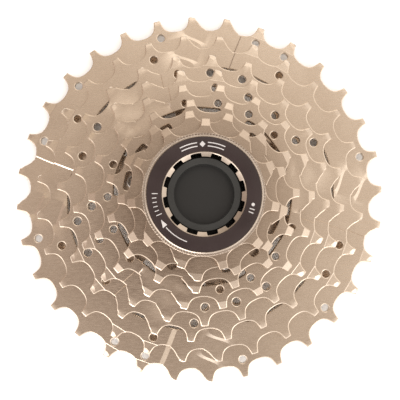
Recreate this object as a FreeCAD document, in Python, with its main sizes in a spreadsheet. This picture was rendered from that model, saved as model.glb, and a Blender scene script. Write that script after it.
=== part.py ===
import FreeCAD, Part
import math
import os
import Sketcher

# Bicycle cassette on its moulded transport core.  +Z is the axle, pointing at
# the rider's right: the lock ring is on top, the largest sprocket is lowest.
# The origin is the middle of the core's rear face.

V = FreeCAD.Vector
doc = FreeCAD.newDocument("cassette")

# ---------------------------------------------------------------- dimensions
SHEET = [
    # chain and tooth form
    ("chain_pitch", 12.7), ("root_allow", 8.05), ("gap_radius", 5.5),
    ("plate", 1.8), ("stack_pitch", 4.8), ("fit_gap", 0.03),
    ("bevel_front", 0.65), ("bevel_back", 0.35), ("bevel_width", 2.4),
    # tip radius of each sprocket
    ("tip_11", 23.0), ("tip_13", 26.5), ("tip_15", 30.9), ("tip_18", 37.0),
    ("tip_21", 42.95), ("tip_24", 49.2), ("tip_28", 57.4), ("tip_32", 65.6),
    # splined bore and splined core (nine splines, one of them narrow)
    ("tab_rad", 16.32), ("valley_rad", 17.42),
    ("core_root", 16.25), ("core_tip", 17.35),
    ("valley_wide", 6.2), ("spline_wide", 6.04),
    ("valley_thin", 3.9), ("spline_thin", 3.74),
    ("spline_step", 40.0),
    # heights along the axle
    ("base_rise", 2.5), ("flange_thick", 2.45), ("core_top", 37.6),
    ("post_top", 38.9), ("disc_top", 36.3), ("disc_thick", 1.8),
    ("thread_floor", 31.2),
    # core radii
    ("flange_rad", 20.1), ("sleeve_bore", 14.6), ("thread_bore", 15.36),
    ("post_rad", 10.85), ("post_bore", 9.0), ("rib_thick", 1.4),
    ("pocket_floor", 3.0),
    # spacers
    ("spacer_rad", 20.4), ("spacer_bore", 17.75), ("lug_rad", 3.5), ("rivet_circle", 22.8),
    ("rivet_shank", 1.5), ("rivet_head", 2.15), ("rivet_head_high", 0.8),
    ("rivet_angle", 288.5),
    # small sprocket's front boss, thin serrated washer, lock ring
    ("boss_rad", 18.45), ("boss_high", 0.27),
    ("washer_rad", 18.35), ("washer_bore", 15.5), ("washer_thick", 0.5),
    ("ring_rad", 17.6), ("ring_thick", 1.6), ("ring_bevel", 0.45),
    ("shank_rad", 15.3), ("shank_low", 32.3), ("ring_mouth", 12.35),
    ("land_rad", 11.1), ("notch_wide", 3.3), ("shank_bore", 12.2),
    ("face_sink", 0.12),
    # small through holes under the teeth
    ("pin_hole", 1.3), ("pin_small", 1.15),
]
sheet = doc.addObject("Spreadsheet::Sheet", "Params")
for row, (alias, value) in enumerate(SHEET, 1):
    sheet.set("A%d" % row, alias)
    sheet.set("B%d" % row, str(value))
    sheet.setAlias("B%d" % row, alias)
doc.recompute()


def val(alias):
    return float(getattr(sheet, alias))


made = []          # every kept sub-part, in build order


# ------------------------------------------------------------------- helpers
def new_body(name, height):
    """A body whose own zero height sits at the given height on the axle."""
    body = doc.addObject("PartDesign::Body", name)
    body.Label = name
    body.setExpression("Placement.Base.z", height)
    made.append(body)
    return body


def plane(body, role):
    return [f for f in body.Origin.OriginFeatures if f.Role == role][0]


def sketch_on(body, name, role="XY_Plane", lift=None, turn=None):
    sk = body.newObject("Sketcher::SketchObject", name)
    sk.AttachmentSupport = [(plane(body, role), "")]
    sk.MapMode = "FlatFace"
    if lift is not None:
        sk.setExpression("AttachmentOffset.Base.z", lift)
    if turn is not None:
        sk.AttachmentOffset = FreeCAD.Placement(V(0, 0, 0), FreeCAD.Rotation(V(0, 0, 1), turn))
    return sk


def add_circle(sk, radius, cx=0.0, cy=0.0, cx_from=None):
    """A circle with its radius (an expression) and its centre constrained."""
    g = sk.addGeometry(Part.Circle(V(cx, cy, 0), V(0, 0, 1), 1.0), False)
    k = sk.addConstraint(Sketcher.Constraint("Radius", g, 1.0))
    sk.setExpression("Constraints[%d]" % k, radius)
    if cx == 0.0 and cy == 0.0 and cx_from is None:
        sk.addConstraint(Sketcher.Constraint("Coincident", g, 3, -1, 1))
    else:
        kx = sk.addConstraint(Sketcher.Constraint("DistanceX", -1, 1, g, 3, cx if cx else 1.0))
        if cx_from is not None:
            sk.setExpression("Constraints[%d]" % kx, cx_from)
        if cy == 0.0:
            sk.addConstraint(Sketcher.Constraint("PointOnObject", g, 3, -1))
        else:
            sk.addConstraint(Sketcher.Constraint("DistanceY", -1, 1, g, 3, cy))
    return g


def add_box(sk, x0, x1, wide, x0_v, x1_v, wide_v):
    """A rectangle centred on the sketch's X axis: x0..x1 by wide, all bound."""
    pts = [(x0_v, -wide_v / 2), (x1_v, -wide_v / 2), (x1_v, wide_v / 2), (x0_v, wide_v / 2)]
    g = []
    for i in range(4):
        a, b = pts[i], pts[(i + 1) % 4]
        g.append(sk.addGeometry(Part.LineSegment(V(a[0], a[1], 0), V(b[0], b[1], 0)), False))
    for i in range(4):
        sk.addConstraint(Sketcher.Constraint("Coincident", g[i], 2, g[(i + 1) % 4], 1))
    sk.addConstraint(Sketcher.Constraint("Horizontal", g[0]))
    sk.addConstraint(Sketcher.Constraint("Horizontal", g[2]))
    sk.addConstraint(Sketcher.Constraint("Vertical", g[3]))
    sk.addConstraint(Sketcher.Constraint("Symmetric", g[1], 1, g[1], 2, -1))
    for text, first, second, kind in (
        (x0, (-1, 1), (g[0], 1), "DistanceX"),
        (x1, (-1, 1), (g[0], 2), "DistanceX"),
        (wide, (g[1], 1), (g[1], 2), "DistanceY"),
    ):
        start = {x0: x0_v, x1: x1_v, wide: wide_v}[text]
        k = sk.addConstraint(Sketcher.Constraint(kind, first[0], first[1], second[0], second[1], start))
        sk.setExpression("Constraints[%d]" % k, text)
    return g


def rounded_loop(sk, pts, rad):
    """A closed loop through pts with every corner rounded to rad."""
    n = len(pts)
    ends = []
    for i in range(n):
        p, a, b = V(*pts[i], 0), V(*pts[i - 1], 0), V(*pts[(i + 1) % n], 0)
        da, db = (a - p), (b - p)
        la, lb = da.Length, db.Length
        da.normalize(); db.normalize()
        half = math.acos(max(-1.0, min(1.0, da.dot(db)))) / 2
        cut = min(rad / math.tan(half), 0.45 * min(la, lb))
        r = cut * math.tan(half)
        mid = (da + db); mid.normalize()
        c = p + mid * (r / math.sin(half))
        ends.append((p + da * cut, p + db * cut, c - mid * r))
    geo = []
    for i in range(n):
        t0, t1, m = ends[i]
        geo.append(Part.Arc(t0, m, t1))
        geo.append(Part.LineSegment(t1, ends[(i + 1) % n][0]))
    sk.addGeometry(geo, False)


def pad(body, sk, length, name, up=True):
    f = body.newObject("PartDesign::Pad", name)
    f.Profile = sk
    f.setExpression("Length", length)
    f.Reversed = not up
    sk.Visibility = False
    return f


def pocket(body, sk, name, length=None, down=True):
    """Through all when no length is given; down cuts towards -Z."""
    f = body.newObject("PartDesign::Pocket", name)
    f.Profile = sk
    if length is None:
        f.Type = 1
        f.Midplane = True
    else:
        f.setExpression("Length", length)
    f.Reversed = not down
    return f


def polar(body, feature, count, name, angle=None):
    p = body.newObject("PartDesign::PolarPattern", name)
    p.Originals = [feature]
    p.Axis = (plane(body, "Z_Axis"), [""])
    p.Angle = 360.0 if angle is None else angle
    p.Occurrences = count
    body.Tip = p
    return p


def groove(body, name, pts, bound=None):
    """Turn away the closed outline pts (radius, height) about the axle."""
    sk = sketch_on(body, name + "Sketch", "XZ_Plane")
    n = len(pts)
    for i in range(n):
        a, b = pts[i], pts[(i + 1) % n]
        sk.addGeometry(Part.LineSegment(V(a[0], a[1], 0), V(b[0], b[1], 0)), False)
    for i in range(n):
        sk.addConstraint(Sketcher.Constraint("Coincident", i, 2, (i + 1) % n, 1))
    f = body.newObject("PartDesign::Groove", name)
    f.Profile = sk
    f.ReferenceAxis = (sk, ["V_Axis"])
    f.Angle = 360.0
    return f


def volume(body):
    doc.recompute()
    return body.Shape.Volume


def must_cut(body, before, what):
    after = volume(body)
    if not after < before - 1e-3:
        raise SystemExit("%s removed nothing from %s" % (what, body.Label))
    return after


def must_add(body, before, what):
    after = volume(body)
    if not after > before + 1e-3:
        raise SystemExit("%s added nothing to %s" % (what, body.Label))
    return after


# ----------------------------------------------------------------- sprockets
TEETH = [32, 28, 24, 21, 18, 15, 13, 11]
PHASE = {32: 2.8, 28: 6.2, 24: 10.6, 21: 14.0, 18: 0.5, 15: 1.7, 13: 16.8, 11: 23.2}
HOLES = {
    32: (59.3, [14.5, 59.5, 70.5, 104, 137.5, 160, 194, 239, 250.5, 284.5, 318.5]),
    28: (51.1, [57.5, 109, 147.5, 199, 251, 328.5, 341]),
    24: (42.8, [26, 71, 86, 101, 146, 161, 191, 206, 221, 266.5]),
    21: (36.6, [31, 48, 65, 83, 185, 202.5, 271.5, 288, 305.5]),
    18: (30.6, [a + k for k in (0, 120, 240) for a in (40.5, 60.5, 80.5, 100.5)]),
}
# windows through the web: inner radius, outer radius, (first, last) angles,
# width of the arm left on each side
ARM0 = {32: 40.0, 28: 40.0, 24: 40.0, 21: 40.0, 18: 8.5}
WINDOW = {
    32: (26.4, 48.6, 6), 28: (26.4, 46.4, 6), 24: (26.2, 38.2, 6),
    21: (26.0, 32.6, 6), 18: (26.0, 28.8, 6),
}
WINDOW_15 = [(45.5, 53.5), (114.5, 124.0), (138.5, 149.0), (161.5, 176.0),
             (241.5, 249.0), (284.0, 291.5), (308.5, 316.0), (330.0, 346.0)]
ARM_HALF = {32: 3.6, 28: 3.6, 24: 3.8, 21: 4.0, 18: 4.2}


def ring_sector(r0, r1, a0, a1, arm0, arm1, steps, outer=None):
    """Outline of a window between two arms, as a list of points.  Each side
    runs parallel to its arm, arm0 and arm1 away from the arm's middle line.
    outer gives the places of the points along the outer edge, 0 to 1, where
    they aren't even: long end runs leave room for a large corner radius."""
    def at(r, a, off, sign):
        s = math.asin(min(1.0, off / r))
        t = math.radians(a) + sign * s
        return t
    pts = []
    lo, hi = at(r0, a0, arm0, 1), at(r0, a1, arm1, -1)
    n = max(1, steps // 2)
    for i in range(n + 1):
        t = lo + (hi - lo) * i / n
        pts.append((r0 * math.cos(t), r0 * math.sin(t)))
    lo, hi = at(r1, a0, arm0, 1), at(r1, a1, arm1, -1)
    for f in outer or [i / steps for i in range(steps + 1)]:
        t = hi + (lo - hi) * f
        pts.append((r1 * math.cos(t), r1 * math.sin(t)))
    return pts


def cut_bore(body, vol):
    """Splined bore: a round hole with eight wide and one narrow groove."""
    sk = sketch_on(body, "BoreSketch")
    add_circle(sk, "Params.tab_rad")
    pocket(body, sk, "Bore")
    vol = must_cut(body, vol, "Bore")
    sk = sketch_on(body, "GrooveWideSketch")
    add_box(sk, "Params.tab_rad - 2", "Params.valley_rad", "Params.valley_wide",
            val("tab_rad") - 2, val("valley_rad"), val("valley_wide"))
    f = pocket(body, sk, "GrooveWide")
    vol = must_cut(body, vol, "GrooveWide")
    polar(body, f, 8, "GrooveWidePattern", 7 * val("spline_step"))
    vol = must_cut(body, vol, "GrooveWidePattern")
    sk = sketch_on(body, "GrooveThinSketch", turn=8 * val("spline_step"))
    add_box(sk, "Params.tab_rad - 2", "Params.valley_rad", "Params.valley_thin",
            val("tab_rad") - 2, val("valley_rad"), val("valley_thin"))
    pocket(body, sk, "GrooveThin")
    return must_cut(body, vol, "GrooveThin")


def sprocket(teeth, level):
    name = "sprocket_%dt" % teeth
    tip = "Params.tip_%d" % teeth
    body = new_body(name, "Params.base_rise + %d * Params.stack_pitch" % level)
    pd = "Params.chain_pitch / sin(180deg / %d)" % teeth
    pitch_dia = val("chain_pitch") / math.sin(math.pi / teeth)
    root = (pitch_dia - val("root_allow")) / 2
    # blank disc
    sk = sketch_on(body, "BlankSketch")
    add_circle(sk, tip)
    pad(body, sk, "Params.plate", "Blank")
    vol = volume(body)
    # smallest sprocket: serrated boss in front, built-in spacer behind
    if teeth == 11:
        sk = sketch_on(body, "BossSketch", lift="Params.plate")
        add_circle(sk, "Params.boss_rad")
        pad(body, sk, "Params.boss_high", "Boss")
        vol = must_add(body, vol, "Boss")
        sk = sketch_on(body, "BackSpacerSketch")
        add_circle(sk, "Params.boss_rad")
        pad(body, sk, "Params.stack_pitch - Params.plate - Params.fit_gap", "BackSpacer", up=False)
        vol = must_add(body, vol, "BackSpacer")
    # bevelled tooth tips, deeper in front than behind
    t, b0, b1, w = val("plate"), val("bevel_front"), val("bevel_back"), val("bevel_width")
    tr = val("tip_%d" % teeth)
    groove(body, "FrontBevel", [(tr - w, t), (tr + 0.4, t - b0 * (w + 0.4) / w), (tr + 0.4, t + 0.5), (tr - w, t + 0.5)])
    vol = must_cut(body, vol, "FrontBevel")
    groove(body, "BackBevel", [(tr - w, 0), (tr - w, -0.5), (tr + 0.4, -0.5), (tr + 0.4, b1 * (w + 0.4) / w)])
    vol = must_cut(body, vol, "BackBevel")
    # tooth gaps
    sk = sketch_on(body, "GapSketch", turn=PHASE[teeth] + 180.0 / teeth)
    add_circle(sk, "Params.gap_radius", cx=root + val("gap_radius"),
               cx_from="(%s - Params.root_allow) / 2 + Params.gap_radius" % pd)
    f = pocket(body, sk, "Gap")
    vol = must_cut(body, vol, "Gap")
    polar(body, f, teeth, "GapPattern")
    vol = must_cut(body, vol, "GapPattern")
    vol = cut_bore(body, vol)
    # windows
    if teeth in WINDOW:
        r0, r1, n = WINDOW[teeth]
        sk = sketch_on(body, "WindowSketch")
        a0 = ARM0[teeth]
        off = ARM_HALF[teeth]
        outer = (0.0, 0.4, 0.6, 1.0) if teeth == 28 else None
        rounded_loop(sk, ring_sector(r0, r1, a0, a0 + 360.0 / n, off, off, 4, outer),
                     {32: 4.0, 28: 6.1, 24: 3.0, 21: 2.2, 18: 1.2}[teeth])
        f = pocket(body, sk, "Window")
        vol = must_cut(body, vol, "Window")
        polar(body, f, n, "WindowPattern")
        vol = must_cut(body, vol, "WindowPattern")
    if teeth == 15:
        sk = sketch_on(body, "WindowSketch")
        for a0, a1 in WINDOW_15:
            rounded_loop(sk, ring_sector(22.3, 25.1, a0, a1, 0.0, 0.0, 2), 1.2)
        pocket(body, sk, "Window")
        vol = must_cut(body, vol, "Window")
    # rivet holes through the riveted cluster
    if teeth >= 18:
        sk = sketch_on(body, "RivetHoleSketch", turn=val("rivet_angle"))
        add_circle(sk, "Params.rivet_shank", cx=val("rivet_circle"), cx_from="Params.rivet_circle")
        f = pocket(body, sk, "RivetHole")
        vol = must_cut(body, vol, "RivetHole")
        polar(body, f, 3, "RivetHolePattern")
        vol = must_cut(body, vol, "RivetHolePattern")
    # small round holes just under the teeth
    if teeth in HOLES:
        rad, angles = HOLES[teeth]
        sk = sketch_on(body, "PinHoleSketch")
        for a in angles:
            add_circle(sk, "Params.pin_small" if teeth == 18 else "Params.pin_hole", cx=rad * math.cos(math.radians(a)),
                       cy=rad * math.sin(math.radians(a)))
        pocket(body, sk, "PinHoles")
        vol = must_cut(body, vol, "PinHoles")
    return body


for level, teeth in enumerate(TEETH):
    sprocket(teeth, level)


# ------------------------------------------------------------------- spacers
def spacer(name, level, loose):
    """Ring between two sprockets.  Loose ones are a hair thinner than the
    space; riveted ones fill it and carry three lugs for the rivets."""
    gap = "Params.fit_gap" if loose else "0"
    body = new_body(name, "Params.base_rise + %d * Params.stack_pitch + Params.plate + %s" % (level, gap))
    thick = "Params.stack_pitch - Params.plate - 2 * %s" % gap
    sk = sketch_on(body, "RingSketch")
    add_circle(sk, "Params.spacer_rad")
    pad(body, sk, thick, "Ring")
    vol = volume(body)
    if not loose:
        sk = sketch_on(body, "LugSketch", turn=val("rivet_angle"))
        add_circle(sk, "Params.lug_rad", cx=val("rivet_circle"), cx_from="Params.rivet_circle")
        f = pad(body, sk, thick, "Lug")
        vol = must_add(body, vol, "Lug")
        polar(body, f, 3, "LugPattern")
        vol = must_add(body, vol, "LugPattern")
        sk = sketch_on(body, "LugHoleSketch", turn=val("rivet_angle"))
        add_circle(sk, "Params.rivet_shank", cx=val("rivet_circle"), cx_from="Params.rivet_circle")
        f = pocket(body, sk, "LugHole")
        vol = must_cut(body, vol, "LugHole")
        polar(body, f, 3, "LugHolePattern")
        vol = must_cut(body, vol, "LugHolePattern")
    sk = sketch_on(body, "BoreSketch")
    add_circle(sk, "Params.spacer_bore")
    pocket(body, sk, "Bore")
    must_cut(body, vol, "Bore")
    return body


spacer("spacer_28_32", 0, False)
spacer("spacer_24_28", 1, False)
spacer("spacer_21_24", 2, False)
spacer("spacer_18_21", 3, False)
spacer("spacer_15_18", 4, True)
spacer("spacer_13_15", 5, True)


# -------------------------------------------------------------------- rivets
parts = []
for i in range(3):
    ang = math.radians(val("rivet_angle") + 120 * i)
    x, y = val("rivet_circle") * math.cos(ang), val("rivet_circle") * math.sin(ang)
    for tag, rad, high, low in (
        ("Shank", "Params.rivet_shank", "4 * Params.stack_pitch + Params.plate", "Params.base_rise"),
        ("RearHead", "Params.rivet_head", "Params.rivet_head_high",
         "Params.base_rise - Params.rivet_head_high"),
        ("FrontHead", "Params.rivet_head", "Params.rivet_head_high",
         "Params.base_rise + 4 * Params.stack_pitch + Params.plate"),
    ):
        c = doc.addObject("Part::Cylinder", "Rivet%d%s" % (i, tag))
        c.setExpression("Radius", rad)
        c.setExpression("Height", high)
        c.setExpression("Placement.Base.x", "Params.rivet_circle * cos(Params.rivet_angle * 1deg + %d * 1deg)" % (120 * i))
        c.setExpression("Placement.Base.y", "Params.rivet_circle * sin(Params.rivet_angle * 1deg + %d * 1deg)" % (120 * i))
        c.setExpression("Placement.Base.z", low)
        parts.append(c)
rivets = doc.addObject("Part::MultiFuse", "cluster_rivets")
rivets.Label = "cluster_rivets"
rivets.Shapes = parts
made.append(rivets)


# --------------------------------------------------- thin washer and lock ring
washer = new_body("lockring_washer",
                  "Params.base_rise + 7 * Params.stack_pitch + Params.plate + Params.boss_high + Params.fit_gap")
sk = sketch_on(washer, "RingSketch")
add_circle(sk, "Params.washer_rad")
pad(washer, sk, "Params.washer_thick", "Ring")
vol = volume(washer)
sk = sketch_on(washer, "BoreSketch")
add_circle(sk, "Params.washer_bore")
pocket(washer, sk, "Bore")
must_cut(washer, vol, "Bore")

SEAT = ("(Params.base_rise + 7 * Params.stack_pitch + Params.plate + Params.boss_high"
        " + Params.washer_thick + 2 * Params.fit_gap)")
seat = (val("base_rise") + 7 * val("stack_pitch") + val("plate") + val("boss_high")
        + val("washer_thick") + 2 * val("fit_gap"))
ring = new_body("lockring", SEAT)
sk = sketch_on(ring, "FlangeSketch")
add_circle(sk, "Params.ring_rad")
pad(ring, sk, "Params.ring_thick", "Flange")
vol = volume(ring)
sk = sketch_on(ring, "ShankSketch")
add_circle(sk, "Params.shank_rad")
pad(ring, sk, SEAT + " - Params.shank_low", "Shank", up=False)
vol = must_add(ring, vol, "Shank")
sk = sketch_on(ring, "MouthSketch")
add_circle(sk, "Params.land_rad")
pocket(ring, sk, "Mouth")
vol = must_cut(ring, vol, "Mouth")
# bevelled outer rim, and the shallow sunk face inside it
rr, rt, rb, fs = val("ring_rad"), val("ring_thick"), val("ring_bevel"), val("face_sink")
groove(ring, "RimBevel", [(rr - rb, rt), (rr + 0.3, rt - rb - 0.3), (rr + 0.3, rt + 0.5), (rr - rb, rt + 0.5)])
vol = must_cut(ring, vol, "RimBevel")
groove(ring, "FaceSink", [(val("ring_mouth") + 0.15, rt - fs), (rr - rb - 0.15, rt - fs), (rr - rb - 0.15, rt + 0.5),
                          (val("ring_mouth") + 0.15, rt + 0.5)])
vol = must_cut(ring, vol, "FaceSink")
groove(ring, "MouthBevel", [(val("land_rad") - 0.5, rt + 0.5), (val("land_rad") - 0.5, rt - 0.55),
                            (val("land_rad"), rt - 0.55), (val("ring_mouth"), rt), (val("ring_mouth"), rt + 0.5)])
vol = must_cut(ring, vol, "MouthBevel")
# twelve tool notches
sk = sketch_on(ring, "NotchSketch", turn=12.0)
add_box(sk, "Params.land_rad - 2", "Params.shank_bore", "Params.notch_wide",
        val("land_rad") - 2, val("shank_bore"), val("notch_wide"))
f = pocket(ring, sk, "Notch")
vol = must_cut(ring, vol, "Notch")
polar(ring, f, 12, "NotchPattern")
must_cut(ring, vol, "NotchPattern")


# ------------------------------------------------------------ transport core
core = new_body("shipping_core", "0")
sk = sketch_on(core, "FlangeSketch")
add_circle(sk, "Params.flange_rad")
pad(core, sk, "Params.flange_thick", "Flange")
vol = volume(core)
sk = sketch_on(core, "SleeveSketch")
add_circle(sk, "Params.core_root")
pad(core, sk, "Params.core_top", "Sleeve")
vol = must_add(core, vol, "Sleeve")
sk = sketch_on(core, "SplineWideSketch")
add_box(sk, "Params.core_root - 1", "Params.core_tip", "Params.spline_wide",
        val("core_root") - 1, val("core_tip"), val("spline_wide"))
f = pad(core, sk, "Params.core_top", "SplineWide")
vol = must_add(core, vol, "SplineWide")
polar(core, f, 8, "SplineWidePattern", 7 * val("spline_step"))
vol = must_add(core, vol, "SplineWidePattern")
sk = sketch_on(core, "SplineThinSketch", turn=8 * val("spline_step"))
add_box(sk, "Params.core_root - 1", "Params.core_tip", "Params.spline_thin",
        val("core_root") - 1, val("core_tip"), val("spline_thin"))
pad(core, sk, "Params.core_top", "SplineThin")
vol = must_add(core, vol, "SplineThin")
# room for the lock ring's shank and washer
th, pt, ct = val("thread_floor"), val("post_top"), val("core_top")
groove(core, "ThreadBore", [(val("post_rad"), th), (val("thread_bore"), th), (val("thread_bore"), ct + 1), (val("post_rad"), ct + 1)])
vol = must_cut(core, vol, "ThreadBore")
# the front of the splines is turned down to clear the washer and boss
groove(core, "FrontTurn", [(val("washer_bore") - 0.06, ct - 0.7), (val("core_tip") + 1, ct - 0.7 - 1.2),
                           (val("core_tip") + 1, ct + 1), (val("washer_bore") - 0.06, ct + 1)])
vol = must_cut(core, vol, "FrontTurn")
# annular hollow behind the thread, open to the rear, crossed by six ribs
groove(core, "Hollow", [(val("post_rad"), -1), (val("sleeve_bore"), -1), (val("sleeve_bore"), th - 1.6),
                        (val("post_rad"), th - 1.6)])
vol = must_cut(core, vol, "Hollow")
sk = sketch_on(core, "RibSketch", turn=30.0, lift="0.4")
add_box(sk, "Params.post_rad - 0.6", "Params.sleeve_bore + 0.6", "Params.rib_thick",
        val("post_rad") - 0.6, val("sleeve_bore") + 0.6, val("rib_thick"))
f = pad(core, sk, "Params.thread_floor - 1", "Rib")
vol = must_add(core, vol, "Rib")
polar(core, f, 6, "RibPattern")
vol = must_add(core, vol, "RibPattern")
# middle post above the thread floor
sk = sketch_on(core, "PostSketch", lift="Params.thread_floor - 0.5")
add_circle(sk, "Params.post_rad")
pad(core, sk, "Params.post_top - Params.thread_floor + 0.5", "Post")
vol = must_add(core, vol, "Post")
# rear bore of the post, and the shallow dish in its front
groove(core, "RearBore", [(0, -1), (val("post_bore"), -1), (val("post_bore"), val("disc_top") - val("disc_thick")),
                          (0, val("disc_top") - val("disc_thick"))])
vol = must_cut(core, vol, "RearBore")
groove(core, "FrontDish", [(0, val("disc_top")), (val("post_bore"), val("disc_top")), (val("post_bore"), pt + 1), (0, pt + 1)])
must_cut(core, vol, "FrontDish")


# ----------------------------------------------------------- check and write
doc.recompute()
bad = [o.Name for o in doc.Objects if "Invalid" in o.State or "Error" in o.State]
if bad:
    raise SystemExit("failed objects: %s" % bad)
for part in made:
    if part.Shape.isNull() or not part.Shape.isValid() or not part.Shape.Solids:
        raise SystemExit("bad shape: %s" % part.Label)
os.makedirs("parts", exist_ok=True)
for part in made:
    part.Shape.exportStep("parts/%s.step" % part.Label)
    box = part.Shape.BoundBox
    print("%-16s solids %d faces %4d volume %9.1f  z %.2f..%.2f" % (
        part.Label, len(part.Shape.Solids), len(part.Shape.Faces), part.Shape.Volume, box.ZMin, box.ZMax))
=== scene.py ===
import math
import bpy
import bmesh
import numpy as np
from mathutils import Matrix, Vector
from mathutils.geometry import delaunay_2d_cdt


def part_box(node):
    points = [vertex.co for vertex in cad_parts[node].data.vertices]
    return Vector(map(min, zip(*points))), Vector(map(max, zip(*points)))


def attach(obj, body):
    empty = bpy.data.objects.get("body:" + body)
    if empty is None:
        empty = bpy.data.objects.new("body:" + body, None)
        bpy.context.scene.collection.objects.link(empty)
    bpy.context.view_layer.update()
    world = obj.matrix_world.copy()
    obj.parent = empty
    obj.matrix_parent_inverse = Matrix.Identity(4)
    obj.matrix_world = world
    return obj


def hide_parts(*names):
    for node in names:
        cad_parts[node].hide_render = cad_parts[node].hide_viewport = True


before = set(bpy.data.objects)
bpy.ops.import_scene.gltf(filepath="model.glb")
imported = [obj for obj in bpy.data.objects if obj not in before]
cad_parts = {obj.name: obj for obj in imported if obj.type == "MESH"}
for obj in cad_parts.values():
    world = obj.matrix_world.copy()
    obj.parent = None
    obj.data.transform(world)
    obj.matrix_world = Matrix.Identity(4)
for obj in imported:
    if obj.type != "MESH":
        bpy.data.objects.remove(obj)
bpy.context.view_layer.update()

MM = 0.001
rad = math.radians

# --------------------------------------------------------------------------
# sizes, in millimetres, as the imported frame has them
# --------------------------------------------------------------------------
PLATE = 1.8
ROOT_ALLOW = 8.05
PITCH = 12.7
RIVET_R, RIVET_A = 22.8, 288.5
TAB, VALLEY = 16.32, 17.42
TEETH = [32, 28, 24, 21, 18, 15, 13, 11]
TIP = {11: 23.0, 13: 26.5, 15: 30.9, 18: 37.0, 21: 42.95, 24: 49.2, 28: 57.4, 32: 65.6}
PHASE = {32: 2.8, 28: 6.2, 24: 10.6, 21: 14.0, 18: 0.5, 15: 1.7, 13: 16.8, 11: 23.2}
BODY = {32: "cluster", 28: "cluster", 24: "cluster", 21: "cluster", 18: "cluster",
        15: "sprocket_15", 13: "sprocket_13", 11: "sprocket_11"}
HOLES = {
    32: (59.3, [14.5, 59.5, 70.5, 104, 137.5, 160, 194, 239, 250.5, 284.5, 318.5]),
    28: (51.1, [57.5, 109, 147.5, 199, 251, 328.5, 341]),
    24: (42.8, [26, 71, 86, 101, 146, 161, 191, 206, 221, 266.5]),
    21: (36.6, [31, 48, 65, 83, 185, 202.5, 271.5, 288, 305.5]),
    18: (30.6, [a + k for k in (0, 120, 240) for a in (40.5, 60.5, 80.5, 100.5)]),
}
# windows: inner and outer radius, how many, half width of the arms between
# them, corner radius, direction of the first arm
WINDOW = {32: (26.4, 48.6, 6, 3.6, 4.0, 40.0), 28: (26.4, 46.4, 6, 3.6, 6.1, 40.0),
          24: (26.2, 38.2, 6, 3.8, 3.0, 40.0), 21: (26.0, 32.6, 6, 4.0, 2.2, 40.0),
          18: (26.0, 28.8, 6, 4.2, 1.2, 8.5)}
WINDOW_15 = [(45.5, 53.5), (114.5, 124.0), (138.5, 149.0), (161.5, 176.0),
             (241.5, 249.0), (284.0, 291.5), (308.5, 316.0), (330.0, 346.0)]
# shift gates.  Each one is a recess in the front face, from a straight radial
# step to a curved edge: directions of the steps, width of the recess in
# degrees at its inner end and at the root of the teeth, inner radius.
GATES = {32: ([76.2, 166.0, 256.2, 346.8], 13.0, 22.5, 49.5),
         28: ([77.0, 167.0, 257.0, 347.0], 15.5, 27.0, 41.5),
         24: ([108.7, 228.7, 348.5], 18.0, 29.0, 34.5),
         21: ([107.4, 227.5, 347.3], 20.0, 31.0, 30.5),
         18: ([109.3, 230.2, 349.8], 22.0, 33.0, 29.4)}
# half width of a tooth gap against height above its root
GAP_H = [0.0, 0.03, 0.12, 0.27, 0.55, 0.85, 1.15, 1.45, 1.75, 2.35, 2.95, 3.55, 4.2]
GAP_W = [0.0, 0.9, 1.5, 2.05, 2.75, 3.25, 3.60, 3.88, 4.12, 4.45, 4.70, 4.92, 5.12]
# what a shift tooth adds on its clockwise flank
LEAN_H = [0.0, 0.12, 0.27, 0.55, 1.15, 1.75, 2.35, 2.95, 3.3, 3.85]
LEAN_W = [0.0, 0.45, 0.80, 1.07, 1.04, 0.90, 0.76, 0.60, 0.42, 0.0]
LEAN_BY = {32: 1.0, 28: 1.1, 24: 1.3, 21: 1.5, 18: 1.7, 15: 1.8, 13: 1.9, 11: 2.0}
# small sprockets: which teeth lean, by direction
LEAN_AT = {15: [25.7, 145.7, 265.7], 13: [44.5, 155.3, 266.0, 348.9], 11: [23.2, 55.9, 219.6, 252.3]}


def z_rear(teeth):
    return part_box("sprocket_%dt" % teeth)[0][2] / MM


# --------------------------------------------------------------------------
# flat loops
# --------------------------------------------------------------------------
def polar(r, a):
    return (r * math.cos(rad(a)), r * math.sin(rad(a)))


def root_of(teeth):
    return (PITCH / math.sin(math.pi / teeth) - ROOT_ALLOW) / 2


def tooth_kinds(teeth):
    """Which teeth lean (the two after each step, anticlockwise) and which
    have a full height facet (the two before it)."""
    lean, full = set(), set()
    step, phase = 360.0 / teeth, PHASE[teeth]
    for s in GATES.get(teeth, ([],))[0]:
        first = math.ceil((s - phase) / step)
        lean |= {first % teeth, (first + 1) % teeth}
        full |= {(first - 1) % teeth, (first - 2) % teeth}
    for a in LEAN_AT.get(teeth, []):
        lean.add(round((a - phase) / step) % teeth)
    return lean, full


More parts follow.
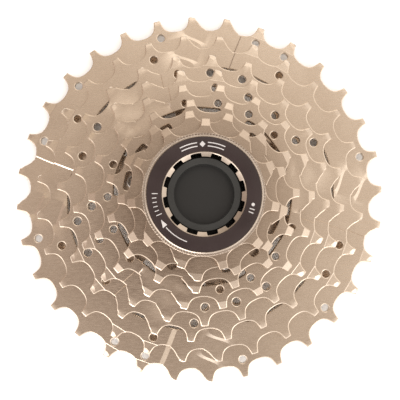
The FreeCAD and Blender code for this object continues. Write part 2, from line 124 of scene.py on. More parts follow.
def tooth_loop(teeth):
    """The toothed outline, anticlockwise."""
    root, tip, phase, step = root_of(teeth), TIP[teeth], PHASE[teeth], 360.0 / teeth
    lean, _ = tooth_kinds(teeth)
    top = tip - root
    hs = [h for h in GAP_H if h < top - 0.75] + [top - 0.6]
    by = LEAN_BY[teeth]
    pts = []

    def bez(p0, p1, p2, n):
        return [((1 - t) ** 2 * p0[0] + 2 * t * (1 - t) * p1[0] + t * t * p2[0],
                 (1 - t) ** 2 * p0[1] + 2 * t * (1 - t) * p1[1] + t * t * p2[1])
                for t in [k / n for k in range(1, n)]]

    def flank(centre, h, side, leaning):
        """Point on the flank of the gap at direction centre; side +1 is the
        anticlockwise one."""
        w = float(np.interp(h, GAP_H, GAP_W))
        if leaning:
            w -= by * float(np.interp(h * 4.85 / top, LEAN_H, LEAN_W))
        r = root + h
        return polar(r, centre + side * math.degrees(w / r))

    for i in range(teeth):
        # tip of tooth i, then the gap after it
        mid = phase + i * step
        gap = mid + step / 2
        nxt = (i + 1) % teeth in lean
        # corner where the flank of tooth i would meet the tip circle
        def corner(centre, side, leaning):
            p = flank(centre, top, side, leaning)
            return p, math.degrees(math.atan2(p[1], p[0]))
        c0, a0 = corner(mid - step / 2, 1, i in lean)
        c1, a1 = corner(gap, -1, False)
        soft0 = math.degrees((0.85 if i in lean else 0.5) / tip)
        soft1 = math.degrees(0.5 / tip)
        a0 = a0 + 360 * round((mid - a0) / 360)
        a1 = a1 + 360 * round((mid - a1) / 360)
        lead0, lead1 = polar(tip, a0 + soft0), polar(tip, a1 - soft1)
        prev = flank(mid - step / 2, hs[-1], 1, i in lean)
        pts += bez(prev, c0, lead0, 4)
        pts += [lead0, polar(tip, (a0 + soft0 + a1 - soft1) / 2), lead1]
        down = [flank(gap, h, -1, False) for h in reversed(hs[1:])]
        pts += bez(lead1, c1, down[0], 4)
        pts += down
        pts.append(flank(gap, 0.0, 1, False))
        pts += [flank(gap, h, 1, nxt) for h in hs[1:]]
    return pts


def circle_loop(r, cx=0.0, cy=0.0, n=48):
    return [(cx + r * math.cos(2 * math.pi * i / n), cy + r * math.sin(2 * math.pi * i / n)) for i in range(n)]


def bore_radius(a, tab=TAB, valley=VALLEY, wide=6.2, thin=3.9):
    """Radius of the splined bore at angle a (degrees)."""
    for k in range(9):
        w = (thin if k == 8 else wide) / 2
        d = (a - 40 * k + 180) % 360 - 180
        if abs(d) < 20:
            y = valley * math.tan(rad(d))
            if abs(y) <= w:
                return valley / math.cos(rad(d))
    return tab


def bore_loop(tab=TAB, valley=VALLEY, wide=6.2, thin=3.9):
    pts = []
    for k in range(9):
        w = (thin if k == 8 else wide) / 2
        a = 40 * k
        inner = math.degrees(math.asin(w / tab))
        outer = math.degrees(math.atan2(w, valley))
        ca, sa = math.cos(rad(a)), math.sin(rad(a))
        for x, y in ((math.sqrt(tab * tab - w * w), -w), (valley, -w), (valley, 0.0), (valley, w),
                     (math.sqrt(tab * tab - w * w), w)):
            pts.append((x * ca - y * sa, x * sa + y * ca))
        nxt_w = (thin if (k + 1) % 9 == 8 else wide) / 2
        stop = 40 - math.degrees(math.asin(nxt_w / tab))
        n = 5
        for i in range(1, n):
            pts.append(polar(tab, a + inner + (stop - inner) * i / n))
    return pts


def round_corners(pts, radius, seg=5):
    """Every sharp corner of a closed loop is rounded to radius; gentle
    corners, as on a curve made of short chords, stay as they are."""
    n, out = len(pts), []
    for i in range(n):
        p = Vector(pts[i]); a = Vector(pts[i - 1]); b = Vector(pts[(i + 1) % n])
        da, db = (a - p), (b - p)
        la, lb = da.length, db.length
        da.normalize(); db.normalize()
        half = math.acos(max(-1, min(1, da.dot(db)))) / 2
        if half > rad(82):
            out.append(tuple(p))
            continue
        cut = min(radius / math.tan(half), 0.48 * min(la, lb))
        r = cut * math.tan(half)
        mid = (da + db).normalized()
        c = p + mid * (r / math.sin(half))
        p0, p1 = p + da * cut, p + db * cut
        a0 = math.atan2(p0.y - c.y, p0.x - c.x)
        a1 = math.atan2(p1.y - c.y, p1.x - c.x)
        d = (a1 - a0 + math.pi) % (2 * math.pi) - math.pi
        for k in range(seg + 1):
            t = a0 + d * k / seg
            out.append((c.x + r * math.cos(t), c.y + r * math.sin(t)))
    return out


def window_loop(r0, r1, a0, a1, arm, radius, fine=2.5):
    def at(r, a, sign):
        return rad(a) + sign * math.asin(min(1.0, arm / r))
    # long sides are two points only, so that the corner between an arm and a
    # rim has room for its radius
    lo, hi = at(r0, a0, 1), at(r0, a1, -1)
    n0 = max(2, int(math.degrees(hi - lo) * r0 * 0.01745 / fine))
    inner = [(r0 * math.cos(lo + (hi - lo) * i / n0), r0 * math.sin(lo + (hi - lo) * i / n0)) for i in range(n0 + 1)]
    lo, hi = at(r1, a0, 1), at(r1, a1, -1)
    n1 = max(3, int(math.degrees(hi - lo) * r1 * 0.01745 / fine))
    outer = [(r1 * math.cos(hi + (lo - hi) * i / n1), r1 * math.sin(hi + (lo - hi) * i / n1)) for i in range(n1 + 1)]
    # fillets by hand: drop curve points that lie inside the rounded corner
    loop = inner + outer
    return fillet_loop(loop, radius)


def fillet_loop(loop, radius):
    """Rounds the sharp corners of a loop whose other points are a fine curve:
    points close to a sharp corner are dropped first."""
    n = len(loop)
    sharp = []
    for i in range(n):
        p = Vector(loop[i]); a = Vector(loop[i - 1]) - p; b = Vector(loop[(i + 1) % n]) - p
        if a.normalized().dot(b.normalized()) > math.cos(rad(150)):
            sharp.append(i)
    keep = []
    for i in range(n):
        if i in sharp:
            keep.append(loop[i])
            continue
        if all((Vector(loop[i]) - Vector(loop[s])).length > radius * 1.7 for s in sharp):
            keep.append(loop[i])
    return round_corners(keep, radius, 6)


def area(loop):
    return 0.5 * sum(p[0] * q[1] - q[0] * p[1] for p, q in zip(loop, loop[1:] + loop[:1]))


def inset(loop, d):
    """The loop moved by d towards the material: inwards on an anticlockwise
    outline, outwards from a clockwise hole."""
    p = np.array(loop)
    prev, nxt = np.roll(p, 1, 0), np.roll(p, -1, 0)
    e0 = p - prev; e1 = nxt - p
    e0 /= np.linalg.norm(e0, axis=1)[:, None]; e1 /= np.linalg.norm(e1, axis=1)[:, None]
    n0 = np.c_[-e0[:, 1], e0[:, 0]]; n1 = np.c_[-e1[:, 1], e1[:, 0]]
    m = n0 + n1
    m /= np.linalg.norm(m, axis=1)[:, None]
    k = np.clip((m * n0).sum(1), 0.5, 1)
    q = p + m * (d / k)[:, None]
    return [tuple(x) for x in q]


def inside(points, loops):
    """Even-odd test of points against all loops together."""
    x, y = points[:, 0], points[:, 1]
    odd = np.zeros(len(points), bool)
    for loop in loops:
        p = np.array(loop); q = np.roll(p, -1, 0)
        for (x0, y0), (x1, y1) in zip(p, q):
            if y0 == y1:
                continue
            hit = ((y0 > y) != (y1 > y)) & (x < (x1 - x0) * (y - y0) / (y1 - y0) + x0)
            odd ^= hit
    return odd


def dist_to_loops(points, loops):
    best = np.full(len(points), 1e9)
    for loop in loops:
        p = np.array(loop); q = np.roll(p, -1, 0)
        d = q - p
        l2 = (d * d).sum(1)
        for i in range(len(p)):
            w = points - p[i]
            t = np.clip((w @ d[i]) / l2[i], 0, 1)
            r = w - t[:, None] * d[i]
            best = np.minimum(best, (r * r).sum(1))
    return np.sqrt(best)


# --------------------------------------------------------------------------
# one face of a plate: a flat triangulation with a height over it
# --------------------------------------------------------------------------
def face_side(loops, edge, height, lines):
    """loops: the outline first, then the holes (clockwise).  Returns points,
    heights, triangles, and for every loop the ring of points on its rim."""
    verts, edges, rim, fixed = [], [], [], {}
    for loop in loops:
        rings = [(loop, 0.0), (inset(loop, 0.3 * edge), 0.3 * edge), (inset(loop, edge), edge)]
        for k, (ring, d) in enumerate(rings):
            base = len(verts)
            n = len(ring)
            for i, p in enumerate(ring):
                fixed[base + i] = d
                verts.append(Vector(p))
                edges.append((base + i, base + (i + 1) % n))
            if k == 0:
                rim.append([base + i for i in range(n)])
    for line in lines:
        base = len(verts)
        for i, p in enumerate(line):
            verts.append(Vector(p))
            if i:
                edges.append((base + i - 1, base + i))
    vo, eo, fo, ov, oe, of = delaunay_2d_cdt(verts, edges, [], 0, 1e-5)
    pts = np.array([tuple(v) for v in vo])
    tri = np.array([tuple(f) for f in fo])
    cen = pts[tri].mean(1)
    ok = inside(cen, loops)
    tri = tri[ok]
    back = {}
    for new, olds in enumerate(ov):
        for o in olds:
            back[o] = new
    d = np.full(len(pts), -1.0)
    for o, dist in fixed.items():
        if o in back:
            d[back[o]] = dist
    unknown = np.flatnonzero(d < 0)
    used = np.unique(tri)
    unknown = np.intersect1d(unknown, used)
    if len(unknown):
        d[unknown] = dist_to_loops(pts[unknown], loops)
    # rounding of the rim: two short facets
    drop = np.where(d >= edge, 0.0, np.where(d >= 0.3 * edge, 0.3 * edge * (edge - d) / (0.7 * edge),
                                             edge - (d / (0.3 * edge)) * 0.7 * edge))
    h = drop + height(pts)
    rim = [[back[o] for o in ring] for ring in rim]
    return pts, h, tri, rim, np.clip(1 - d / edge, 0, 1)


def boundary_next(tri):
    """For every directed edge on the border of a triangulation: from -> to."""
    count = {}
    for a, b, c in tri:
        for e in ((a, b), (b, c), (c, a)):
            count[e] = count.get(e, 0) + 1
    return {a: b for (a, b) in count if (b, a) not in count}


def plate_mesh(name, loops, z0, z1, edge, front_h, back_h, front_lines, back_lines):
    f_pts, f_h, f_tri, f_rim, f_wear = face_side(loops, edge, front_h, front_lines)
    b_pts, b_h, b_tri, b_rim, b_wear = face_side(loops, edge, back_h, back_lines)
    # all triangles anticlockwise seen from above
    def orient(p, t):
        a = p[t]
        cr = (a[:, 1, 0] - a[:, 0, 0]) * (a[:, 2, 1] - a[:, 0, 1]) - (a[:, 1, 1] - a[:, 0, 1]) * (a[:, 2, 0] - a[:, 0, 0])
        t = t.copy()
        t[cr < 0] = t[cr < 0][:, ::-1]
        return t[np.abs(cr) > 1e-9]
    f_tri, b_tri = orient(f_pts, f_tri), orient(b_pts, b_tri)
    f_next, b_next = boundary_next(f_tri), boundary_next(b_tri)
    nf = len(f_pts)
    verts = [(x, y, z1 - h) for (x, y), h in zip(f_pts, f_h)] + [(x, y, z0 + h) for (x, y), h in zip(b_pts, b_h)]
    faces = [tuple(int(i) for i in t) for t in f_tri] + [tuple(int(i) + nf for i in t[::-1]) for t in b_tri]

    def chain(nxt, a, b):
        out, cur, guard = [a], a, 0
        while cur != b:
            cur = nxt.get(cur)
            guard += 1
            if cur is None or guard > 60:
                return None
            out.append(cur)
        return out
    lost = 0
    for fr, br in zip(f_rim, b_rim):
        n = len(fr)
        for i in range(n):
            fa, fb, ba, bb = fr[i], fr[(i + 1) % n], br[i], br[(i + 1) % n]
            fc = chain(f_next, fa, fb)
            bc = chain(b_next, ba, bb)
            if fc is None or bc is None:
                lost += 1
                continue
            faces.append(tuple([nf + int(k) for k in bc] + [int(k) for k in fc[::-1]]))
    if lost:
        print("plate", name, "lost wall faces:", lost)
    return finish_mesh(name, verts, faces, wear=list(f_wear) + list(b_wear))


def finish_mesh(name, verts, faces, scale=MM, smooth_angle=13.0, wear=None):
    me = bpy.data.meshes.new(name)
    me.from_pydata([(x * scale, y * scale, z * scale) for x, y, z in verts], [], faces)
    if wear is not None:
        at = me.attributes.new("wear", "FLOAT", "POINT")
        at.data.foreach_set("value", [float(w) for w in wear])
    bm = bmesh.new()
    bm.from_mesh(me)
    loose = [v for v in bm.verts if not v.link_faces]
    bmesh.ops.delete(bm, geom=loose, context="VERTS")
    bmesh.ops.remove_doubles(bm, verts=bm.verts, dist=2e-7)
    bmesh.ops.dissolve_degenerate(bm, edges=bm.edges, dist=1e-7)
    bmesh.ops.recalc_face_normals(bm, faces=bm.faces)
    open_edges = sum(1 for e in bm.edges if len(e.link_faces) != 2)
    if open_edges:
        print("mesh", name, "has", open_edges, "edges that are not between two faces")
    bm.to_mesh(me)
    bm.free()
    me.shade_smooth()
    me.set_sharp_from_angle(angle=rad(smooth_angle))
    ob = bpy.data.objects.new(name, me)
    bpy.context.scene.collection.objects.link(ob)
    return ob


def loft_mesh(name, rings, smooth_angle=28.0, closed=True):
    """rings: a list of equally long lists of (x, y, z).  Each is joined to the
    next, and the last to the first, so the skin is closed like a tyre."""
    n = len(rings[0])
    verts = [p for ring in rings for p in ring]
    faces = []
    m = len(rings)
    for k in range(m if closed else m - 1):
        a, b = k * n, ((k + 1) % m) * n
        for i in range(n):
            j = (i + 1) % n
            faces.append((a + i, a + j, b + j, b + i))
    return finish_mesh(name, verts, faces, smooth_angle=smooth_angle)


def ring_at(r, z, angles):
    return [(r * math.cos(rad(a)), r * math.sin(rad(a)), z) for a in angles]


# --------------------------------------------------------------------------
# sprockets
# --------------------------------------------------------------------------
def facets_of(teeth):
    """Front facets of the teeth: for every tooth the distance from the axis
    where its facet starts, the small step there, its slope, and the corner
    cut on its clockwise side."""
    root, tip, phase, step = root_of(teeth), TIP[teeth], PHASE[teeth], 360.0 / teeth
    lean, full = tooth_kinds(teeth)
    out = []
    for i in range(teeth):
        mid = phase + i * step
        if i in full and teeth > 18:
            out.append((mid, root + 0.42, 0.10, math.tan(rad(3.0)), 1.9))
        elif teeth > 24:
            out.append((mid, tip - 1.3, 0.0, math.tan(rad(7)), 0.9 if i in lean else 0.0))
        elif teeth > 18:
            out.append((mid, tip - 1.7, 0.0, math.tan(rad(11)), 0.9 if i in lean else 0.0))
        else:
            out.append((mid, tip - 2.4, 0.0, math.tan(rad(15)), 0.9 if i in lean else 0.0))
    return out


SLOT = 0.22                      # width of the small step at a facet's foot
CORNER_DIR = rad(30)             # direction in which corner cuts fall
CORNER_FALL = math.tan(rad(30))


def facet_height(teeth, facets, p):
    tip, step = TIP[teeth], 360.0 / teeth
    a = np.degrees(np.arctan2(p[:, 1], p[:, 0]))
    out = np.zeros(len(p))
    idx = np.round((a - PHASE[teeth]) / step).astype(int) % teeth
    for i, (mid, u0, drop, fall, cut) in enumerate(facets):
        k = np.flatnonzero(idx == i)
        if not len(k):
            continue
        er = np.array([math.cos(rad(mid)), math.sin(rad(mid))])
        et = np.array([-er[1], er[0]])
        u, v = p[k] @ er, p[k] @ et
        h = drop * np.clip((u - u0) / SLOT, 0, 1) + fall * np.maximum(0, u - u0 - (SLOT if drop else 0))
        if cut:
            n = math.cos(CORNER_DIR) * u - math.sin(CORNER_DIR) * v
            n_tip = math.cos(CORNER_DIR) * tip + math.sin(CORNER_DIR) * 0.95
            h = np.where(u > tip - 3.2, np.maximum(h, CORNER_FALL * (n - n_tip + cut)), h)
        out[k] = np.maximum(h, 0)
    return out


def facet_lines(teeth, facets):
    tip, step = TIP[teeth], 360.0 / teeth
    lines = []
    for mid, u0, drop, fall, cut in facets:
        er = (math.cos(rad(mid)), math.sin(rad(mid)))
        et = (-er[1], er[0])

        def at(u, v):
            return (u * er[0] + v * et[0], u * er[1] + v * et[1])
        half = 0.42 * step * 0.01745 * u0
        for u in ([u0, u0 + SLOT] if drop else [u0]):
            lines.append([at(u, -half + 2 * half * k / 8) for k in range(9)])
        if cut:
            n_tip = math.cos(CORNER_DIR) * tip + math.sin(CORNER_DIR) * 0.95 - cut
            ends = []
            for v in (-2.9, 2.0):
                u = (n_tip + math.sin(CORNER_DIR) * v) / math.cos(CORNER_DIR)
                ends.append(at(u, v))
            lines.append([tuple(Vector(ends[0]).lerp(Vector(ends[1]), k / 8)) for k in range(9)])
    return lines


def gate_functions(teeth):
    """Depth of the shift recesses at points, and the lines that bound them."""
    if teeth not in GATES:
        return (lambda p: np.zeros(len(p))), []
    starts, w_in_deg, w_out_deg, r_in = GATES[teeth]
    depth, w_line, w_curve, w_in = (0.40, 0.42, 2.4, 1.2) if teeth > 24 else (0.28, 0.36, 3.0, 2.0)
    slant = 0.16 if teeth > 18 else 0.0        # degrees per millimetre
    tip, root = TIP[teeth], root_of(teeth)
    lo_r, hi_r = root - 6.4, root - 0.3

    def step_width(s):
        """The step that looks down and to the left was pressed with a softer edge."""
        if teeth > 24 and 250 < s < 262:
            return 1.75
        return 0.13 if teeth in (21, 24) else w_line

    def far(r):
        """Angle past the step at which the recess has ended, at radius r."""
        t = np.clip((r - lo_r) / (hi_r - lo_r), 0, 1)
        return w_in_deg + (w_out_deg - w_in_deg) * t * t * (3 - 2 * t)

    def depth_at(p):
        r = np.hypot(p[:, 0], p[:, 1])
        a = np.degrees(np.arctan2(p[:, 1], p[:, 0]))
        out = np.zeros(len(p))
        for s in starts:
            d = (a - s - slant * (root - 3.0 - r) + 180) % 360 - 180
            x0 = 0.01745 * d * r
            x1 = 0.01745 * (far(r) - d) * r
            k = np.clip(x0 / step_width(s), 0, 1) * np.clip(x1 / w_curve, 0, 1) * np.clip((r - r_in) / w_in, 0, 1)
            out = np.maximum(out, depth * np.where((d > -20) & (d < 60), k, 0))
        return out

    lines = []
    for s in starts:
        rs = np.linspace(r_in, tip + 0.6, 26)
        turn = [s + slant * (root - 3.0 - r) for r in rs]
        for off in (0.0, step_width(s)):
            lines.append([polar(r, t + math.degrees(off / r)) for r, t in zip(rs, turn)])
        for off in (0.0, w_curve):
            lines.append([polar(r, t + float(far(np.array([r]))[0]) - math.degrees(off / r)) for r, t in zip(rs, turn)])
        for off in (0.0, w_in):
            r = r_in + off
            f = float(far(np.array([r]))[0])
            t = s + slant * (root - 3.0 - r)
            lines.append([polar(r, t + f * k / 10) for k in range(11)])
    return depth_at, lines


def sprocket(teeth):
    name = "plate_%dt" % teeth
    node = "sprocket_%dt" % teeth
    (x0, y0, zlo), (x1, y1, zhi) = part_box(node)
    z0 = zlo / MM
    if teeth == 11:
        z0 = z0 + (4.8 - PLATE - 0.03)
    z1 = z0 + PLATE
    edge = 0.34 if teeth > 13 else 0.24
    loops = [tooth_loop(teeth)]
    if teeth == 11:
        loops.append(circle_loop(18.0, n=90)[::-1])
    else:
        loops.append(bore_loop()[::-1])
    if teeth in WINDOW:
        r0, r1, n, arm, rr, first = WINDOW[teeth]
        for k in range(n):
            a0 = first + k * 360.0 / n
            loops.append(window_loop(r0, r1, a0, a0 + 360.0 / n, arm, rr)[::-1])
    if teeth == 15:
        for a0, a1 in WINDOW_15:
            loops.append(window_loop(22.3, 25.1, a0, a1, 0.0, 1.2, 1.0)[::-1])
    if teeth in HOLES:
        r, angles = HOLES[teeth]
        for a in angles:
            cx, cy = polar(r, a)
            loops.append(circle_loop(1.15 if teeth == 18 else 1.3, cx, cy, 28)[::-1])
    if teeth >= 18:
        for k in range(3):
            cx, cy = polar(RIVET_R, RIVET_A + 120 * k)
            loops.append(circle_loop(1.5, cx, cy, 24)[::-1])
    loops = [l if (area(l) > 0) == (i == 0) else l[::-1] for i, l in enumerate(loops)]
    tip = TIP[teeth]
    gate, gate_lines = gate_functions(teeth)
    facets = facets_of(teeth)

    def front_h(p):
        return np.minimum(facet_height(teeth, facets, p) + gate(p), 1.0)

    def back_h(p):
        r = np.hypot(p[:, 0], p[:, 1])
        return np.clip((r - (tip - 2.4)) / 2.4, 0, 1.2) * 0.33

    ring = [polar(tip - 2.4, 360.0 * k / (teeth * 8)) for k in range(teeth * 8 + 1)]
    ob = plate_mesh(name, loops, z0, z1, edge, front_h, back_h, facet_lines(teeth, facets) + gate_lines, [ring])
    if teeth == 11:
        # hub: built-in spacer behind the plate and the low boss in front
        zb, zt = zlo / MM, zhi / MM
        angles = sorted(set([round(a, 4) for a in np.arange(0, 360, 2.5)] +
                            [round((40 * k + s * side) % 360, 4)
                             for k in range(9) for s in (-1, 1)
                             for side in (math.degrees(math.atan2((3.9 if k == 8 else 6.2) / 2, VALLEY)) - 0.01,
                                          math.degrees(math.asin((3.9 if k == 8 else 6.2) / 2 / TAB)) + 0.01)]))
        inner = [(bore_radius(a)) for a in angles]
        def bore_ring(z):
            return [(r * math.cos(rad(a)), r * math.sin(rad(a)), z) for r, a in zip(inner, angles)]
        rings = [bore_ring(zb), ring_at(18.3, zb, angles), ring_at(18.45, zb + 0.15, angles),
                 ring_at(18.45, zt - 0.1, angles), ring_at(18.35, zt, angles), bore_ring(zt)]
        hub = loft_mesh(name + "_hub", rings)
        ob = join([ob, hub], name)
    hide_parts(node)
    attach(ob, BODY[teeth])
    return ob


def join(obs, name):
    bpy.ops.object.select_all(action="DESELECT")
    for o in obs:
        o.select_set(True)
    bpy.context.view_layer.objects.active = obs[0]
    bpy.ops.object.join()
    obs[0].name = name
    return obs[0]


# --------------------------------------------------------------------------
# materials
# --------------------------------------------------------------------------
def new_material(name):
    m = bpy.data.materials.new(name)
    m.use_nodes = True
    nt = m.node_tree
    nt.nodes.clear()
    out = nt.nodes.new("ShaderNodeOutputMaterial")
    bsdf = nt.nodes.new("ShaderNodeBsdfPrincipled")
    nt.links.new(bsdf.outputs[0], out.inputs[0])
    return m, nt, bsdf


def node(nt, kind, **kw):
    n = nt.nodes.new(kind)
    for k, v in kw.items():
        setattr(n, k, v)
    return n


def noise(nt, vec, scale, detail=3.0, rough=0.55, stretch=None):
    src = vec
    if stretch is not None:
        mp = node(nt, "ShaderNodeMapping")
        mp.inputs["Scale"].default_value = stretch
        nt.links.new(src, mp.inputs["Vector"])
        src = mp.outputs[0]
    n = node(nt, "ShaderNodeTexNoise")
    n.inputs["Scale"].default_value = scale
    n.inputs["Detail"].default_value = detail
    n.inputs["Roughness"].default_value = rough
    nt.links.new(src, n.inputs["Vector"])
    return n.outputs["Fac"]


def ramp(nt, fac, stops):
    r = node(nt, "ShaderNodeValToRGB")
    els = r.color_ramp.elements
    while len(els) < len(stops):
        els.new(0.5)
    for e, (pos, col) in zip(els, stops):
        e.position = pos
        e.color = col if len(col) == 4 else (*col, 1)
    nt.links.new(fac, r.inputs[0])
    return r.outputs[0]


def maprange(nt, fac, a, b, c, d):
    r = node(nt, "ShaderNodeMapRange")
    for k, v in zip(("From Min", "From Max", "To Min", "To Max"), (a, b, c, d)):
        r.inputs[k].default_value = v
    nt.links.new(fac, r.inputs["Value"])
    return r.outputs[0]


def mix(nt, fac, a, b, blend="MIX"):
    m = node(nt, "ShaderNodeMix", data_type="RGBA", blend_type=blend)
    if isinstance(fac, (int, float)):
        m.inputs[0].default_value = fac
    else:
        nt.links.new(fac, m.inputs[0])
    for sock, v in ((m.inputs[6], a), (m.inputs[7], b)):
        if isinstance(v, tuple):
            sock.default_value = v if len(v) == 4 else (*v, 1)
        else:
            nt.links.new(v, sock)
    return m.outputs[2]


def bump(nt, height, strength, distance, normal=None):
    b = node(nt, "ShaderNodeBump")
    b.inputs["Strength"].default_value = strength
    b.inputs["Distance"].default_value = distance
    nt.links.new(height, b.inputs["Height"])
    if normal is not None:
        nt.links.new(normal, b.inputs["Normal"])
    return b.outputs[0]


def nickel_material(name, light, deep, rough=0.3, grain=1.0):
    m, nt, bsdf = new_material(name)
    co = node(nt, "ShaderNodeTexCoord").outputs["Object"]
    # slow changes of tint in the plating, then fine tumbling marks
    cloud = noise(nt, co, 60.0, 4.0, 0.55)
    speck = noise(nt, co, 900.0, 3.0, 0.6)
    brushed = noise(nt, co, 420.0, 4.0, 0.65, stretch=(1.0, 9.0, 1.0))
    base = ramp(nt, cloud, [(0.32, deep), (0.68, light)])
    marks = ramp(nt, speck, [(0.34, (0.93, 0.925, 0.92)), (0.62, (1.0, 1.0, 1.0))])
    base = mix(nt, 0.55, base, marks, "MULTIPLY")
    # plating is a little thinner and brighter on worn edges
    worn = node(nt, "ShaderNodeAttribute", attribute_name="wear").outputs["Fac"]
    patchy = maprange(nt, noise(nt, co, 260.0, 3.0, 0.6), 0.35, 0.65, 0.05, 0.45)
    keep = node(nt, "ShaderNodeMath", operation="MULTIPLY")
    nt.links.new(worn, keep.inputs[0])
    nt.links.new(patchy, keep.inputs[1])
    base = mix(nt, keep.outputs[0], base, (0.95, 0.84, 0.70))
    # painted shade: the small sprockets near the axis are painted a little darker than the large ones, for the shade
    # deep in the middle of the stack
    flat = node(nt, "ShaderNodeVectorMath", operation="MULTIPLY")
    nt.links.new(co, flat.inputs[0])
    flat.inputs[1].default_value = (1.0, 1.0, 0.0)
    dist = node(nt, "ShaderNodeVectorMath", operation="LENGTH")
    nt.links.new(flat.outputs[0], dist.inputs[0])
    painted_centre_shade = maprange(nt, dist.outputs["Value"], 0.023, 0.038, 1.0, 0.0)
    base = mix(nt, painted_centre_shade, base, (0.78, 0.755, 0.74), "MULTIPLY")
    # painted shade deep between the plates: ambient occlusion darkens the base colour where surfaces are close together
    ao = node(nt, "ShaderNodeAmbientOcclusion", samples=6)
    ao.inputs["Distance"].default_value = 0.0045
    painted_contact_shade = maprange(nt, ao.outputs["AO"], 0.25, 0.70, 0.40, 0.0)
    base = mix(nt, painted_contact_shade, base, (0.16, 0.135, 0.115))
    nt.links.new(base, bsdf.inputs["Base Color"])
    bsdf.inputs["Metallic"].default_value = 1.0
    r = maprange(nt, brushed, 0.3, 0.7, rough - 0.05, rough + 0.08)
    nt.links.new(r, bsdf.inputs["Roughness"])
    # punched plates are never quite flat: long shallow waves, then grain
    wave = noise(nt, co, 48.0, 1.0, 0.4)
    b = bump(nt, wave, 0.75, 0.0004)
    b = bump(nt, speck, 0.10 * grain, 0.00004, b)
    b = bump(nt, brushed, 0.035 * grain, 0.00004, b)
    nt.links.new(b, bsdf.inputs["Normal"])
    return m


def plastic_material(name, base, rough, grain_scale=1500.0, strength=0.25):
    m, nt, bsdf = new_material(name)
    co = node(nt, "ShaderNodeTexCoord").outputs["Object"]
    fine = noise(nt, co, grain_scale, 3.0, 0.6)
    cloud = noise(nt, co, 90.0, 4.0, 0.5)
    lo = tuple(c * 0.82 for c in base); hi = tuple(c * 1.2 for c in base)
    nt.links.new(ramp(nt, cloud, [(0.3, lo), (0.7, hi)]), bsdf.inputs["Base Color"])
    nt.links.new(maprange(nt, cloud, 0.3, 0.7, rough - 0.05, rough + 0.07), bsdf.inputs["Roughness"])
    nt.links.new(bump(nt, fine, strength, 0.00003), bsdf.inputs["Normal"])
    return m


NICKEL = nickel_material("nickel_plate", (0.800, 0.698, 0.592), (0.740, 0.636, 0.532), 0.25)
RING_NICKEL = nickel_material("ring_nickel", (0.70, 0.63, 0.55), (0.62, 0.55, 0.475), 0.24, 0.6)
WASHER_STEEL = nickel_material("washer_steel", (0.56, 0.49, 0.42), (0.48, 0.415, 0.355), 0.34, 0.6)
SPACER_GREY = nickel_material("spacer_metal", (0.42, 0.41, 0.40), (0.34, 0.33, 0.325), 0.42)
RIVET_STEEL = nickel_material("rivet_steel", (0.55, 0.54, 0.52), (0.46, 0.45, 0.44), 0.3)
CORE_PLASTIC = plastic_material("core_plastic", (0.0185, 0.0192, 0.0185), 0.46)
FACE_BLACK = plastic_material("ring_print", (0.022, 0.0135, 0.0138), 0.30, 2600.0, 0.12)
MARK_WHITE = plastic_material("mark_white", (0.47, 0.455, 0.45), 0.5, 3000.0, 0.1)


def dress(ob, mat):
    ob.data.materials.clear()
    ob.data.materials.append(mat)
    return ob


for teeth in TEETH:
    dress(sprocket(teeth), NICKEL)


# --------------------------------------------------------------------------
# spacers and rivets
# --------------------------------------------------------------------------
def spacer(node_name, body, lugs):
    (x0, y0, zlo), (x1, y1, zhi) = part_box(node_name)
    z0, z1 = zlo / MM, zhi / MM
    angles = [i * 1.5 for i in range(240)]

    def outer(a, off):
        r = 20.4 - off
        if lugs:
            for k in range(3):
                d = rad((a - RIVET_A - 120 * k + 180) % 360 - 180)
                rr = 3.5 - off
                s = RIVET_R * math.sin(d)
                if abs(s) < rr and abs(d) < 0.5:
                    r = max(r, RIVET_R * math.cos(d) + math.sqrt(rr * rr - s * s))
        return r

    def out_ring(off, z):
        return [(outer(a, off) * math.cos(rad(a)), outer(a, off) * math.sin(rad(a)), z) for a in angles]
    e = 0.2
    rings = [ring_at(17.75 + e, z0, angles), out_ring(e, z0), out_ring(0.3 * e, z0 + 0.3 * e), out_ring(0, z0 + e),
             out_ring(0, z1 - e), out_ring(0.3 * e, z1 - 0.3 * e), out_ring(e, z1),
             ring_at(17.75 + e, z1, angles), ring_at(17.75, z1 - e, angles), ring_at(17.75, z0 + e, angles)]
    ob = loft_mesh(node_name + "_ring", rings)
    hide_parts(node_name)
    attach(ob, body)
    return dress(ob, SPACER_GREY)


for n, b, l in (("spacer_28_32", "cluster", True), ("spacer_24_28", "cluster", True),
                ("spacer_21_24", "cluster", True), ("spacer_18_21", "cluster", True),
                ("spacer_15_18", "spacer_low", False), ("spacer_13_15", "spacer_high", False)):
    spacer(n, b, l)


def rivets():
    (x0, y0, zlo), (x1, y1, zhi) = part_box("cluster_rivets")
    z0, z1 = zlo / MM, zhi / MM
    verts, faces = [], []
    prof = []
    for k in range(6):          # domed rear head
        t = k / 5
        prof.append((2.15 * math.sin(t * math.pi / 2) if k else 0.0, z0 + 0.8 * (1 - math.cos(t * math.pi / 2)) * 0.75))
    prof += [(2.15, z0 + 0.8), (1.5, z0 + 0.8), (1.5, z1 - 0.8), (2.15, z1 - 0.8)]
    for k in range(5, -1, -1):
        t = k / 5
        prof.append((2.15 * math.sin(t * math.pi / 2) if k else 0.0, z1 - 0.8 * (1 - math.cos(t * math.pi / 2)) * 0.75))
    m = 32
    for c in range(3):
        cx, cy = polar(RIVET_R, RIVET_A + 120 * c)
        rows = []
        for r, z in prof:
            if r == 0.0:
                rows.append([len(verts)])
                verts.append((cx, cy, z))
            else:
                rows.append(list(range(len(verts), len(verts) + m)))
                for i in range(m):
                    verts.append((cx + r * math.cos(2 * math.pi * i / m), cy + r * math.sin(2 * math.pi * i / m), z))
        for a, b in zip(rows, rows[1:]):
            for i in range(m):
                j = (i + 1) % m
                if len(a) == 1:
                    faces.append((a[0], b[i], b[j]))
                elif len(b) == 1:
                    faces.append((a[i], a[j], b[0]))
                else:
                    faces.append((a[i], a[j], b[j], b[i]))
    ob = finish_mesh("rivets", verts, faces, smooth_angle=35)
    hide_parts("cluster_rivets")
    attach(ob, "cluster")
    return dress(ob, RIVET_STEEL)


rivets()


